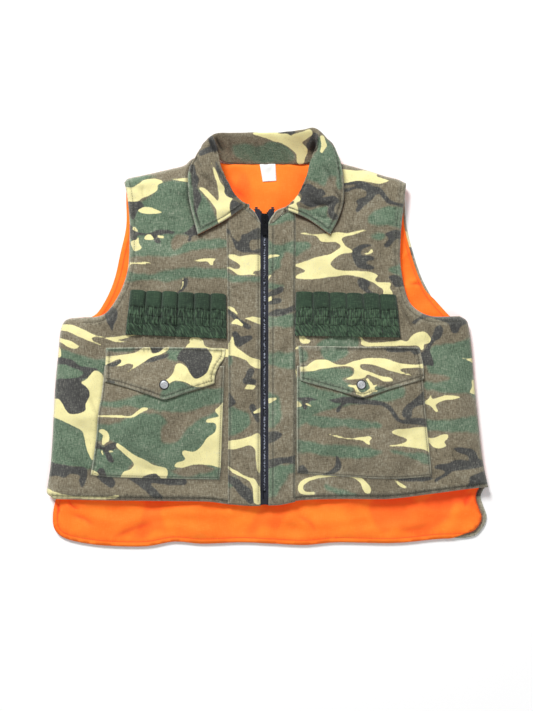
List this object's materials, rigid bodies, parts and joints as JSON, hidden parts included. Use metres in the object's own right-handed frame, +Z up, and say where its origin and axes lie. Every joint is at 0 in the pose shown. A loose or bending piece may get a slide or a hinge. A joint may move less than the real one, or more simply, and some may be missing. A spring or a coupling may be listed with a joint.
{
  "type": "hunting vest",
  "caption": "Sleeveless padded garment lying flat, with a fold-down collar, an open-end zip, elastic cartridge loops and patch pockets with snapped flaps.",
  "frame": {"origin": "middle of the garment's outline, on the surface it lies on", "axes": "+Z up off the surface, +Y towards the collar, +X towards the wearer's left"},
  "size_m": [0.664, 0.6236, 0.0376],
  "materials": {
    "camouflage_cloth": "matte",
    "orange_cloth": "matte",
    "wadding": "matte",
    "label": "matte",
    "zip_tape": "matte",
    "black_plastic": "satin",
    "black_metal": "satin",
    "elastic": "matte",
    "snap_metal": "polished"
  },
  "bodies": {
    "back": {"back_shell": "camouflage_cloth", "back_wadding": "wadding", "back_lining": "orange_cloth", "neck_label": "label", "collar_back_upper": "camouflage_cloth", "collar_back_under": "orange_cloth", "side_wrap_left": "camouflage_cloth", "side_wrap_right": "camouflage_cloth", "shoulder_seam_left": "camouflage_cloth", "shoulder_seam_right": "camouflage_cloth"},
    "front_left": {"front_shell_left": "camouflage_cloth", "front_wadding_left": "wadding", "front_lining_left": "orange_cloth", "placket_left": "camouflage_cloth", "collar_leaf_upper_left": "camouflage_cloth", "collar_leaf_under_left": "orange_cloth", "zip_tape_left": "zip_tape", "zip_teeth_left": "black_plastic", "zip_top_stop_left": "black_metal", "holder_base_left": "elastic", "holder_band_left": "elastic", "pocket_left": "camouflage_cloth", "snap_post_left": "snap_metal", "snap_stud_left": "snap_metal", "zip_pin": "black_plastic"},
    "front_right": {"front_shell_right": "camouflage_cloth", "front_wadding_right": "wadding", "front_lining_right": "orange_cloth", "placket_right": "camouflage_cloth", "collar_leaf_upper_right": "camouflage_cloth", "collar_leaf_under_right": "orange_cloth", "zip_tape_right": "zip_tape", "zip_teeth_right": "black_plastic", "zip_top_stop_right": "black_metal", "holder_base_right": "elastic", "holder_band_right": "elastic", "pocket_right": "camouflage_cloth", "snap_post_right": "snap_metal", "snap_stud_right": "snap_metal", "zip_box": "black_plastic"},
    "flap_left": {"flap_left": "camouflage_cloth", "flap_facing_left": "camouflage_cloth", "snap_socket_left": "snap_metal", "snap_cap_left": "snap_metal"},
    "flap_right": {"flap_right": "camouflage_cloth", "flap_facing_right": "camouflage_cloth", "snap_socket_right": "snap_metal", "snap_cap_right": "snap_metal"},
    "slider": {"zip_slider": "black_metal"},
    "pull": {"zip_pull": "black_metal"}
  },
  "joints": [
    {"name": "front_left_open", "type": "hinge", "parent": "back", "child": "front_left", "pos_m": [0.214, 0.234, 0.0196], "axis": [-0.1941, 0.981, 0], "range_deg": [0, 35]},
    {"name": "front_right_open", "type": "hinge", "parent": "back", "child": "front_right", "pos_m": [-0.214, 0.234, 0.0196], "axis": [-0.1885, -0.9821, 0], "range_deg": [0, 35]},
    {"name": "flap_left_lift", "type": "hinge", "parent": "front_left", "child": "flap_left", "pos_m": [0.137, -0.012, 0.0215], "axis": [-1, 0, 0], "range_deg": [0, 120]},
    {"name": "flap_right_lift", "type": "hinge", "parent": "front_right", "child": "flap_right", "pos_m": [-0.155, -0.012, 0.0215], "axis": [-1, 0, 0], "range_deg": [0, 120]},
    {"name": "zip_slide", "type": "slide", "parent": "front_right", "child": "slider", "axis": [0, -1, 0], "range_m": [0, 0.408], "deforming": ["zip_teeth_left", "zip_teeth_right"]},
    {"name": "pull_swing", "type": "hinge", "parent": "slider", "child": "pull", "pos_m": [-0.006, 0.181, 0.0215], "axis": [-1, 0, 0], "range_deg": [0, 170]}
  ]
}
